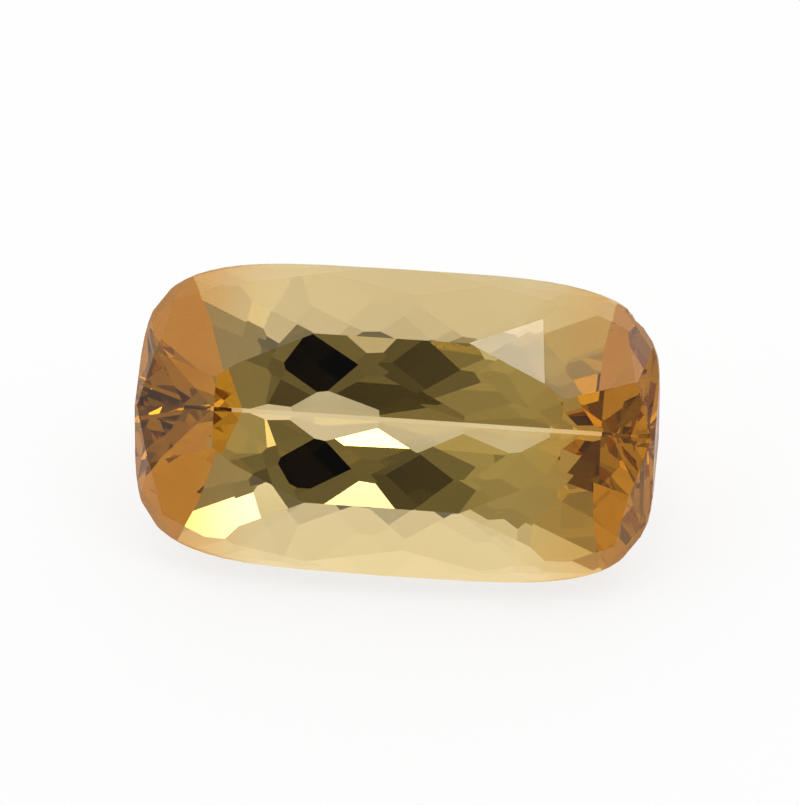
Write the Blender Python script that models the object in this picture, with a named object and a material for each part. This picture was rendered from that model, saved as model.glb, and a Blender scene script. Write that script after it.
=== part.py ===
"""Imperial topaz, cut as a long cushion: one solid stone of flat facets, lying on a facet of its underside.

The stone is cut in the way a gem cutter cuts it. A block is ground away one plane at a time: the outline first,
then the rows of facets under the girdle, then the crown and the table. Each facet has its angle from the girdle
plane, its direction round the stone and its distance from the stone's middle. Then the stone is laid down.
"""

import math

import bmesh
import bpy
from mathutils import Matrix, Vector

# Driving dimensions, in millimetres. X runs along the stone, Y across it and Z up through the table.
LENGTH = 15.28
WIDTH = 8.80
TABLE_HEIGHT = 1.37
GIRDLE_HEIGHT = 0.36
KEEL_DEPTH = 4.9

# The outline is a superellipse: a higher power gives squarer corners.
OUTLINE_POWER = 4.15
GIRDLE_FACETS = 64

# Directions are in degrees round the stone from its long axis. Each facet below is cut four times, mirrored
# left to right and front to back, or twice where it lies on an axis.
# Crown facets that meet the table: direction, table edge's distance from the axis, height at the outline.
TABLE_EDGE_FACETS = (
    (90, 2.43, 0.34),
    (84.2, 2.65, 0.42),
    (65.8, 3.15, 0.50),
    (54, 3.81, 0.31),
    (0, 5.10, 0.62),
)
# Crown facets that rise from the girdle: direction, angle.
CROWN_GIRDLE_FACETS = ((85.5, 43.5), (74, 38.5), (60, 31.5), (35, 33), (12, 47))

# Pavilion rows of the long sides. Each is turned from facet to facet by TURN, about a centre BOW inside the side.
TURN = 9.05
BOW = 21.7
# The stone lies on the middle facet of the row with this angle, on its front side.
REST_ANGLE = 45.4
# Angle, distance from the middle of the stone at the middle of the side, turns from there.
PAVILION_ROWS = (
    (37.0, 3.545, (0, 1, 2)),
    (41.9, 3.364, (0.5,)),
    (43.2, 3.332, (1.5,)),
    (REST_ANGLE, 3.279, (0, 1)),
    (45.5, 3.219, (2,)),
    (48.1, 3.254, (0.5, 1.5, 2.5)),
)
# Pavilion facets that start at the girdle: direction, angle, distance in from the outline.
PAVILION_GIRDLE_FACETS = (
    (90, 55, 0.02),
    (81, 55, 0.17),
    (72, 55, 0.10),
    (60, 56, 0),
    (40, 64, -0.07),
    (20, 54.5, 0.12),
    (4, 62.5, 0.14),
)
# Pavilion facets that close the ends of the keel: direction, angle, keel point along and below.
KEEL_END_FACETS = ((0, 64, 6.25, 4.0), (37.7, 52.0, 4.53, 4.0), (59.5, 39.6, 6.86, 4.0))
# The rows sit a little off the outline's centre, and hang this far below the middle of the girdle.
PAVILION_SHIFT = (0.19, 0.0, -0.50)
# A row may thin the girdle by this much, measured square to its facet, and no more.
GIRDLE_THINNING = 0.27

MM = 0.001
SNAP = 1e-5
SMALLEST_EDGE = 0.004


def outline_reach(direction):
    """How far the outline reaches in a direction, to the line that touches it square to that direction."""
    power = OUTLINE_POWER / (OUTLINE_POWER - 1)
    along = abs(LENGTH / 2 * math.cos(direction))
    across = abs(WIDTH / 2 * math.sin(direction))
    return (along**power + across**power) ** (1 / power)


def facing(direction, angle, side):
    """The unit normal of a facet: side is 1 on the crown and -1 on the pavilion."""
    flat = math.sin(angle)
    return Vector((flat * math.cos(direction), flat * math.sin(direction), side * math.cos(angle)))


def mirrored(degrees):
    """The directions, in radians, of a facet and its mirror images."""
    found = {round(turn % 360, 6) for turn in (degrees, 180 - degrees, -degrees, 180 + degrees)}
    return [math.radians(turn) for turn in sorted(found)]


def grind(stone, normal, distance):
    """Takes away all that lies past a plane, and closes the stone again with one flat facet."""
    parts = stone.verts[:] + stone.edges[:] + stone.faces[:]
    cut = bmesh.ops.bisect_plane(
        stone, geom=parts, dist=SNAP, plane_co=normal * distance, plane_no=normal, clear_outer=True
    )
    rim = [piece for piece in cut["geom_cut"] if isinstance(piece, bmesh.types.BMEdge)]
    if len(rim) > 2:
        bmesh.ops.edgeloop_fill(stone, edges=rim)


def cut_outline(stone):
    """The girdle: narrow upright facets that follow the cushion outline."""
    power = OUTLINE_POWER - 1
    for index in range(GIRDLE_FACETS):
        turn = 2 * math.pi * (index + 0.5) / GIRDLE_FACETS
        across = math.copysign(abs(math.sin(turn)) ** (2 * power / OUTLINE_POWER) / (WIDTH / 2), math.sin(turn))
        along = math.copysign(abs(math.cos(turn)) ** (2 * power / OUTLINE_POWER) / (LENGTH / 2), math.cos(turn))
        direction = math.atan2(across, along)
        grind(stone, facing(direction, math.pi / 2, 1), outline_reach(direction))


def girdle_facet_distance(direction, angle, inset=0):
    """A facet that starts at the girdle's edge, at the outline or a little in from it."""
    return (outline_reach(direction) - inset) * math.sin(angle) + GIRDLE_HEIGHT / 2 * math.cos(angle)


def grind_pavilion(stone, direction, angle, distance):
    """A pavilion facet, moved with the pavilion and never so far in that it cuts through the girdle."""
    normal = facing(direction, angle, -1)
    moved = distance + normal.dot(Vector(PAVILION_SHIFT))
    grind(stone, normal, max(moved, girdle_facet_distance(direction, angle) - GIRDLE_THINNING))


def row_distance(angle, middle, turn):
    """A row's distance where it has turned: its level line follows an arc of radius BOW."""
    level = (middle / math.sin(angle) - BOW) * math.cos(turn) + BOW
    return level * math.sin(angle)


def cut_pavilion(stone):
    """The underside: girdle facets, the rows of the long sides, and the facets at the ends of the keel."""
    for degrees, slope, inset in PAVILION_GIRDLE_FACETS:
        angle = math.radians(slope)
        for direction in mirrored(degrees):
            grind(stone, facing(direction, angle, -1), girdle_facet_distance(direction, angle, inset))
    for slope, middle, turns in PAVILION_ROWS:
        angle = math.radians(slope)
        for turn in turns:
            distance = row_distance(angle, middle, math.radians(TURN * turn))
            for direction in mirrored(90 - TURN * turn):
                grind_pavilion(stone, direction, angle, distance)
    for degrees, slope, along, below in KEEL_END_FACETS:
        angle = math.radians(slope)
        distance = along * math.sin(angle) * math.cos(math.radians(degrees)) + below * math.cos(angle)
        for direction in mirrored(degrees):
            grind_pavilion(stone, direction, angle, distance)


def cut_crown(stone):
    """The top: the table, the facets that meet it and the facets that rise from the girdle."""
    grind(stone, Vector((0, 0, 1)), TABLE_HEIGHT)
    for degrees, edge, height in TABLE_EDGE_FACETS:
        for direction in mirrored(degrees):
            angle = math.atan2(TABLE_HEIGHT - height, outline_reach(direction) - edge)
            distance = edge * math.sin(angle) + TABLE_HEIGHT * math.cos(angle)
            grind(stone, facing(direction, angle, 1), distance)
    for degrees, slope in CROWN_GIRDLE_FACETS:
        angle = math.radians(slope)
        for direction in mirrored(degrees):
            grind(stone, facing(direction, angle, 1), girdle_facet_distance(direction, angle))


def lay_down(stone):
    """Turns the stone about its length onto its resting facet, and puts the middle of its base at the origin."""
    turned = Matrix.Rotation(math.radians(REST_ANGLE), 3, "X")
    bmesh.ops.rotate(stone, verts=stone.verts, cent=(0, 0, 0), matrix=turned)
    low = [min(vert.co[axis] for vert in stone.verts) for axis in range(3)]
    high = [max(vert.co[axis] for vert in stone.verts) for axis in range(3)]
    middle = Vector(((low[0] + high[0]) / 2, (low[1] + high[1]) / 2, low[2]))
    bmesh.ops.translate(stone, verts=stone.verts, vec=-middle)
    bmesh.ops.scale(stone, verts=stone.verts, vec=(MM, MM, MM))


def topaz_material():
    """Clear golden orange topaz."""
    material = bpy.data.materials.new("topaz")
    material.use_nodes = True
    shader = material.node_tree.nodes["Principled BSDF"]
    shader.inputs["Base Color"].default_value = (0.93, 0.78, 0.48, 1)
    shader.inputs["Metallic"].default_value = 0
    shader.inputs["Roughness"].default_value = 0
    shader.inputs["IOR"].default_value = 1.62
    shader.inputs["Transmission Weight"].default_value = 1
    return material


def make_topaz(collection):
    """The whole stone, as one object."""
    stone = bmesh.new()
    bmesh.ops.create_cube(stone, size=1)
    bmesh.ops.scale(stone, verts=stone.verts, vec=(LENGTH * 1.2, WIDTH * 1.2, KEEL_DEPTH * 3))
    cut_outline(stone)
    cut_pavilion(stone)
    cut_crown(stone)
    bmesh.ops.remove_doubles(stone, verts=stone.verts, dist=SMALLEST_EDGE)
    bmesh.ops.dissolve_degenerate(stone, edges=stone.edges, dist=SMALLEST_EDGE)
    bmesh.ops.recalc_face_normals(stone, faces=stone.faces)
    lay_down(stone)
    mesh = bpy.data.meshes.new("topaz")
    stone.to_mesh(mesh)
    stone.free()
    mesh.materials.append(topaz_material())
    topaz = bpy.data.objects.new("topaz", mesh)
    collection.objects.link(topaz)
    return topaz


def main():
    for thing in list(bpy.data.objects):
        bpy.data.objects.remove(thing, do_unlink=True)
    collection = bpy.data.collections.new("cushion_cut_topaz")
    bpy.context.scene.collection.children.link(collection)
    make_topaz(collection)


main()
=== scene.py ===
import math

import bpy
from mathutils import Matrix, Vector


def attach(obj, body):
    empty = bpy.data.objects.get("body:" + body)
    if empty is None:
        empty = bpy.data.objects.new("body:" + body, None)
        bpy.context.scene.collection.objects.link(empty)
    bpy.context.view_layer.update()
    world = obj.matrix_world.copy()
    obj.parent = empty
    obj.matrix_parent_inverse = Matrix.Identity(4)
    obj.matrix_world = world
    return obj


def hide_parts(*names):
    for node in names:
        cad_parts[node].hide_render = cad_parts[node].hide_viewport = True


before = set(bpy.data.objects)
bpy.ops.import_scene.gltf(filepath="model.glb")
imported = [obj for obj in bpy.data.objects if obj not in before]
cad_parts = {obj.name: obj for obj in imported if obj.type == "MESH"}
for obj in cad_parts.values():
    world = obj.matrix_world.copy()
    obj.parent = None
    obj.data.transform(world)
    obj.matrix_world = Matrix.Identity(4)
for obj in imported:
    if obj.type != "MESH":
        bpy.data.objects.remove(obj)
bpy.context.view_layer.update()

MM = 0.001

# How the stone lies: the table's direction, and how it is turned about its length from table up.
LEAN = math.radians(45.4)
TABLE_UP = Vector((0, -math.sin(LEAN), math.cos(LEAN)))
ACROSS = Vector((0, math.cos(LEAN), math.sin(LEAN)))
# The table's height over the middle of the girdle, and how closely the table's corners agree, in millimetres.
TABLE_HEIGHT = 1.37
SAME_HEIGHT = 0.002

# The wear, in millimetres. The outline is half the stone's length and width, and its squareness.
OUTLINE = (7.64, 4.40, 4.15)
# The keel's edges lie this near to the stone's middle plane and at least this far under the girdle.
KEEL_ASIDE = 0.06
KEEL_BELOW = 0.5
KEEL_WEAR = 0.075
# Small chips at the girdle: direction round the stone in degrees, height over its middle, and radius.
CHIPS = ((25.5, 0.20, 0.18), (27.0, 0.18, 0.25), (28.9, 0.21, 0.20), (15.2, -0.16, 0.11), (-12.0, 0.19, 0.10))
# A chip's hollow is centred this share of its radius outside the outline. Each is turned from the last.
CHIP_OUTSIDE = 0.55
CHIP_TURN = (0.7, 1.1)

# The stone's glass. The tint changes from the middle to the ends between two distances, in millimetres.
REFRACTION = 1.62
MIDDLE_TINT = (1.0, 0.93, 1.0, 1)
END_TINT = (1.0, 0.60, 0.28, 1)
TINT_CHANGES = (3.5, 6.1)
DEPTH_COLOUR = (0.797, 0.674, 0.064, 1)
DEPTH_DENSITY = 180
# The fine-ground finish fades out between these heights over and under the girdle's middle, in millimetres.
GROUND_EDGE = (0.16, 0.20)
GROUND_ROUGHNESS = 0.35

# The photo's view of the stone, in degrees, and the photo's scale.
TURN_TO_RIGHT = 12.44
LOOK_FROM_ABOVE = 1.39
LEAN_IN_PICTURE = 3.47
PIXELS_PER_MM = 34.8
PICTURE = (800, 805)
MIDDLE_AT = (397.1, 422.6)
CAMERA_DISTANCE = 0.25
SENSOR = 36.0

# The white table under the stone: its side in metres, its gap under the stone in millimetres, shade and glow.
TABLE_SIDE = 4
TABLE_GAP = 0.02
TABLE_SHADE = 0.3
TABLE_GLOW = 0.74

# The card round the camera. A card's or lamp's reach is its half-angle in degrees, seen from the stone.
CARD_DISTANCE = 0.45
CARD_REACH = 37.6
# How strongly the card glows at each angle from its middle: a painted glow that stands in for the light on a
# grey card.
CARD_GLOW_BY_ANGLE = ((7.4, 0.0), (7.7, 0.24), (14.0, 0.24), (26.0, 0.11), (37.6, 0.41))
# How much more the card glows towards its right and its upper side, outside its black middle: painted side
# light, as if the card were lit from its upper right.
CARD_SIDE_GLOW = (0.09, 0.13)
NEARLY_BLACK = 0.01

LAMP_DISTANCE = 0.40
# Lamps beside the camera: how far to its right and above it, as slopes from the stone, reach and light.
LAMPS = (
    ("lamp", (-0.190, 0.425), 3.2, 9.0),
    ("upper_lamp", (-0.155, 0.551), 2.6, 4.6),
    ("right_lamp", (0.027, 0.549), 3.0, 1.2),
)
# Lights high over the stone and behind it: direction, distance, reach and light.
ROOM_LIGHTS = (
    ("soft_box", (0.441, -0.080, 0.894), 0.50, 19.5, 1.8),
    ("back_lamp_right", (0.398, 0.249, 0.883), 0.30, 3.5, 4.0),
    ("back_lamp_top", (-0.024, 0.102, 0.995), 0.30, 3.5, 4.0),
)
RIM_POINTS = 64
# The room's own light, and how it grows along each axis.
ROOM = 0.663
ROOM_LEAN = (-0.105, 0.426, 0.145)


def activate(obj):
    """Makes this the only selected object."""
    bpy.ops.object.select_all(action="DESELECT")
    obj.select_set(True)
    bpy.context.view_layer.objects.active = obj


def girdle_middle(node):
    """The point in the middle of the girdle's plane: under the table's middle by the table's height."""
    points = [vert.co for vert in node.data.vertices]
    top = max(point.dot(TABLE_UP) for point in points)
    table = [point for point in points if top - point.dot(TABLE_UP) < SAME_HEIGHT * MM]
    low = Vector(map(min, zip(*table)))
    high = Vector(map(max, zip(*table)))
    return (low + high) / 2 - TABLE_UP * TABLE_HEIGHT * MM


def view_axes():
    """The camera's right, up and backward directions, in the part's frame."""
    roll = Matrix.Rotation(math.radians(-LEAN_IN_PICTURE), 3, "Z")
    pitch = Matrix.Rotation(math.radians(LOOK_FROM_ABOVE), 3, "X")
    yaw = Matrix.Rotation(math.radians(-TURN_TO_RIGHT), 3, "Y")
    seen = roll @ pitch @ yaw
    lying = Matrix.Rotation(LEAN, 3, "X")
    return [lying @ seen[row] for row in range(3)]


def new_material(name):
    """A new material with its node tree and its surface shader."""
    material = bpy.data.materials.new(name)
    material.use_nodes = True
    return material, material.node_tree, material.node_tree.nodes["Principled BSDF"]


def object_position(tree):
    """Where a point of the surface is, in the object's own axes."""
    return tree.nodes.new("ShaderNodeTexCoord").outputs["Object"]


def calculate(tree, operation, *values):
    """A math node. Each value is a number or the output of another node."""
    node = tree.nodes.new("ShaderNodeMath")
    node.operation = operation
    for slot, value in zip(node.inputs, values):
        if isinstance(value, bpy.types.NodeSocket):
            tree.links.new(value, slot)
        else:
            slot.default_value = value
    return node.outputs[0]


def reach_along(tree, position, direction):
    """How far a position lies along a direction."""
    node = tree.nodes.new("ShaderNodeVectorMath")
    node.operation = "DOT_PRODUCT"
    node.inputs[1].default_value = direction
    tree.links.new(position, node.inputs[0])
    return node.outputs["Value"]


def blend_range(tree, value, start, end, top, kind="LINEAR"):
    """Goes from 0 to top while the value goes from start to end."""
    node = tree.nodes.new("ShaderNodeMapRange")
    node.interpolation_type = kind
    node.inputs["From Min"].default_value = start
    node.inputs["From Max"].default_value = end
    node.inputs["To Max"].default_value = top
    tree.links.new(value, node.inputs["Value"])
    return node.outputs["Result"]


def topaz_material(middle):
    """Clear golden topaz, more orange towards its two ends, with a fine-ground girdle."""
    material, tree, shader = new_material("golden_topaz")
    shader.inputs["Metallic"].default_value = 0
    shader.inputs["IOR"].default_value = REFRACTION
    shader.inputs["Transmission Weight"].default_value = 1

    from_middle = calculate(tree, "ABSOLUTE", reach_along(tree, object_position(tree), (1, 0, 0)))
    start, end = [distance * MM for distance in TINT_CHANGES]
    colour = tree.nodes.new("ShaderNodeMix")
    colour.data_type = "RGBA"
    colour.inputs["A"].default_value = MIDDLE_TINT
    colour.inputs["B"].default_value = END_TINT
    tree.links.new(blend_range(tree, from_middle, start, end, 1, "SMOOTHSTEP"), colour.inputs["Factor"])
    tree.links.new(colour.outputs["Result"], shader.inputs["Base Color"])

    height = reach_along(tree, object_position(tree), TABLE_UP)
    from_girdle = calculate(tree, "ABSOLUTE", calculate(tree, "SUBTRACT", height, middle.dot(TABLE_UP)))
    ground, polished = [distance * MM for distance in GROUND_EDGE]
    roughness = blend_range(tree, from_girdle, polished, ground, GROUND_ROUGHNESS)
    tree.links.new(roughness, shader.inputs["Roughness"])

    depth = tree.nodes.new("ShaderNodeVolumeAbsorption")
    depth.inputs["Color"].default_value = DEPTH_COLOUR
    depth.inputs["Density"].default_value = DEPTH_DENSITY
    tree.links.new(depth.outputs["Volume"], tree.nodes["Material Output"].inputs["Volume"])
    return material


def resize(obj, factor):
    """Scales the mesh itself. The wear is modelled in millimetres, on a stone a thousand times the size."""
    activate(obj)
    obj.scale = (factor, factor, factor)
    bpy.ops.object.transform_apply(location=False, rotation=False, scale=True)


def make_stone(node):
    """The stone's own mesh: the solid's facets, whole again."""
    mesh = node.data.copy()
    mesh.name = "topaz_stone"
    stone = bpy.data.objects.new("topaz_stone", mesh)
    bpy.context.scene.collection.objects.link(stone)
    resize(stone, 1 / MM)
    bpy.ops.object.mode_set(mode="EDIT")
    bpy.ops.mesh.select_all(action="SELECT")
    bpy.ops.mesh.remove_doubles(threshold=0.001)
    bpy.ops.mesh.dissolve_limited(angle_limit=math.radians(0.2))
    bpy.ops.object.mode_set(mode="OBJECT")
    return stone


def wear_keel(stone, middle):
    """Rubs the sharp ridge under the stone flat by a hair's width, from end to end."""
    activate(stone)
    bpy.ops.object.mode_set(mode="EDIT")
    bpy.ops.mesh.select_mode(type="EDGE")
    bpy.ops.mesh.select_all(action="DESELECT")
    bpy.ops.object.mode_set(mode="OBJECT")
    points = [vert.co - middle / MM for vert in stone.data.vertices]
    on_keel = [abs(point.dot(ACROSS)) < KEEL_ASIDE and point.dot(TABLE_UP) < -KEEL_BELOW for point in points]
    for edge in stone.data.edges:
        edge.select = all(on_keel[index] for index in edge.vertices)
    bpy.ops.object.mode_set(mode="EDIT")
    bpy.ops.mesh.bevel(offset=KEEL_WEAR, segments=1)
    bpy.ops.object.mode_set(mode="OBJECT")


def chip_girdle(stone, middle):
    """Takes small shell-shaped chips out of the girdle's edges."""
    along, across, power = OUTLINE
    for index, (degrees, height, radius) in enumerate(CHIPS):
        turn = math.radians(degrees)
        reach = (abs(math.cos(turn) / along) ** power + abs(math.sin(turn) / across) ** power) ** (-1 / power)
        out = Vector((math.cos(turn), 0, 0)) + ACROSS * math.sin(turn)
        place = middle / MM + out * (reach + CHIP_OUTSIDE * radius) + TABLE_UP * height
        turned = (CHIP_TURN[0] * index, CHIP_TURN[1] * index, 0)
        bpy.ops.mesh.primitive_ico_sphere_add(subdivisions=2, radius=radius, location=place, rotation=turned)
        chip = bpy.context.object
        activate(stone)
        cut = stone.modifiers.new("chip", "BOOLEAN")
        cut.operation = "DIFFERENCE"
        cut.solver = "EXACT"
        cut.object = chip
        bpy.ops.object.modifier_apply(modifier=cut.name)
        bpy.data.objects.remove(chip, do_unlink=True)


def close_up(stone):
    """Splits the facets into flat triangles and brings the stone back to its real size."""
    activate(stone)
    bpy.ops.object.mode_set(mode="EDIT")
    bpy.ops.mesh.select_all(action="SELECT")
    bpy.ops.mesh.quads_convert_to_tris(quad_method="BEAUTY", ngon_method="BEAUTY")
    bpy.ops.object.mode_set(mode="OBJECT")
    bpy.ops.object.shade_flat()
    resize(stone, MM)


def plain(name, shade, glow):
    """An even matt surface, with a glow of its own: a light, or a table lit from below."""
    material, tree, shader = new_material(name)
    shader.inputs["Base Color"].default_value = (shade, shade, shade, 1)
    shader.inputs["Roughness"].default_value = 0.9
    shader.inputs["Specular IOR Level"].default_value = 0
    shader.inputs["Emission Color"].default_value = (1, 1, 1, 1)
    shader.inputs["Emission Strength"].default_value = glow
    return material


def card_glow_ramp(tree, share):
    """The card's painted glow from its middle, at 0, to its rim, at 1."""
    node = tree.nodes.new("ShaderNodeValToRGB")
    first, last = node.color_ramp.elements
    first.color = (0, 0, 0, 1)
    last.color = (*[CARD_GLOW_BY_ANGLE[-1][1]] * 3, 1)
    for degrees, light in CARD_GLOW_BY_ANGLE[:-1]:
        stop = node.color_ramp.elements.new(degrees / CARD_REACH)
        stop.color = (light, light, light, 1)
    tree.links.new(share, node.inputs[0])
    return node.outputs["Color"]


def card_material():
    """A card that is black in the middle, where the camera is, and grey and lighter towards its rim by a
    painted glow of its own, lighter still towards its right and upper side.
    """
    material, tree, shader = new_material("glowing_card")
    shader.inputs["Base Color"].default_value = (0, 0, 0, 1)
    shader.inputs["Specular IOR Level"].default_value = 0
    shader.inputs["Emission Color"].default_value = (1, 1, 1, 1)
    position = object_position(tree)
    length = tree.nodes.new("ShaderNodeVectorMath")
    length.operation = "LENGTH"
    tree.links.new(position, length.inputs[0])
    angle = calculate(tree, "ARCTAN2", length.outputs["Value"], CARD_DISTANCE)
    # The card's glow at each angle: painted light, not light falling on the card.
    shade = card_glow_ramp(tree, calculate(tree, "DIVIDE", angle, math.radians(CARD_REACH)))
    # Painted side light: the glow grows towards the card's right and upper side.
    side_glow = reach_along(tree, position, (CARD_SIDE_GLOW[0] / CARD_DISTANCE, CARD_SIDE_GLOW[1] / CARD_DISTANCE, 0))
    outside = calculate(tree, "GREATER_THAN", shade, NEARLY_BLACK)
    graded = calculate(tree, "MULTIPLY_ADD", side_glow, outside, shade)
    tree.links.new(calculate(tree, "MAXIMUM", graded, 0), shader.inputs["Emission Strength"])
    return material


def disc(name, middle, up, direction, distance, reach, material):
    """A round card or light that faces the stone and fills its reach round its direction."""
    towards = direction.normalized()
    radius = distance * math.tan(math.radians(reach))
    place = middle + towards * distance
    bpy.ops.mesh.primitive_circle_add(vertices=RIM_POINTS, radius=radius, fill_type="NGON", location=place)
    card = bpy.context.object
    card.name = name
    side = up.cross(towards).normalized()
    facing = Matrix((side, towards.cross(side), towards)).transposed()
    card.rotation_mode = "QUATERNION"
    card.rotation_quaternion = facing.to_quaternion()
    card.data.materials.append(material)


def white_table():
    """The lit white table that the stone lies on."""
    bpy.ops.mesh.primitive_plane_add(size=TABLE_SIDE, location=(0, 0, -TABLE_GAP * MM))
    table = bpy.context.object
    table.name = "light_table"
    table.data.materials.append(plain("white_table", TABLE_SHADE, TABLE_GLOW))


def room_light():
    """An even grey room that is a little lighter above and behind the stone."""
    world = bpy.data.worlds.new("room")
    world.use_nodes = True
    tree = world.node_tree
    towards = tree.nodes.new("ShaderNodeTexCoord").outputs["Generated"]
    light = calculate(tree, "ADD", reach_along(tree, towards, ROOM_LEAN), ROOM)
    background = tree.nodes["Background"]
    background.inputs["Color"].default_value = (1, 1, 1, 1)
    tree.links.new(light, background.inputs["Strength"])
    bpy.context.scene.world = world


def add_camera(middle, right, up, back):
    """A long lens at the photo's angle, with the stone's middle at its place in the photo."""
    data = bpy.data.cameras.new("camera")
    camera = bpy.data.objects.new("camera", data)
    bpy.context.scene.collection.objects.link(camera)
    aside = (PICTURE[0] / 2 - MIDDLE_AT[0]) / PIXELS_PER_MM * MM
    above = (MIDDLE_AT[1] - PICTURE[1] / 2) / PIXELS_PER_MM * MM
    place = middle + back * CAMERA_DISTANCE + right * aside + up * above
    camera.matrix_world = Matrix.Translation(place) @ Matrix((right, up, back)).transposed().to_4x4()
    data.sensor_width = SENSOR
    data.lens = PIXELS_PER_MM * SENSOR * (CAMERA_DISTANCE / MM) / max(PICTURE)
    data.clip_start = 0.01
    data.clip_end = 10
    data.dof.use_dof = False
    bpy.context.scene.camera = camera


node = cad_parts["topaz"]
middle = girdle_middle(node)
right, up, back = view_axes()

stone = make_stone(node)
wear_keel(stone, middle)
chip_girdle(stone, middle)
close_up(stone)
stone.data.materials.clear()
stone.data.materials.append(topaz_material(middle))
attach(stone, "root")
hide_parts("topaz")

# The white table, the card round the camera with its painted glow, the lamps and lights, and the room.
white_table()
disc("card", middle, up, back, CARD_DISTANCE, CARD_REACH, card_material())
for name, (aside, above), reach, light in LAMPS:
    direction = back + right * aside + up * above
    disc(name, middle, up, direction, LAMP_DISTANCE, reach, plain(name, 0, light))
for name, direction, distance, reach, light in ROOM_LIGHTS:
    disc(name, middle, up, Vector(direction), distance, reach, plain(name, 0, light))
room_light()
add_camera(middle, right, up, back)

scene = bpy.context.scene
scene.view_settings.view_transform = "Standard"
scene.cycles.max_bounces = 32
scene.cycles.transmission_bounces = 32
scene.cycles.glossy_bounces = 24
scene.cycles.diffuse_bounces = 3
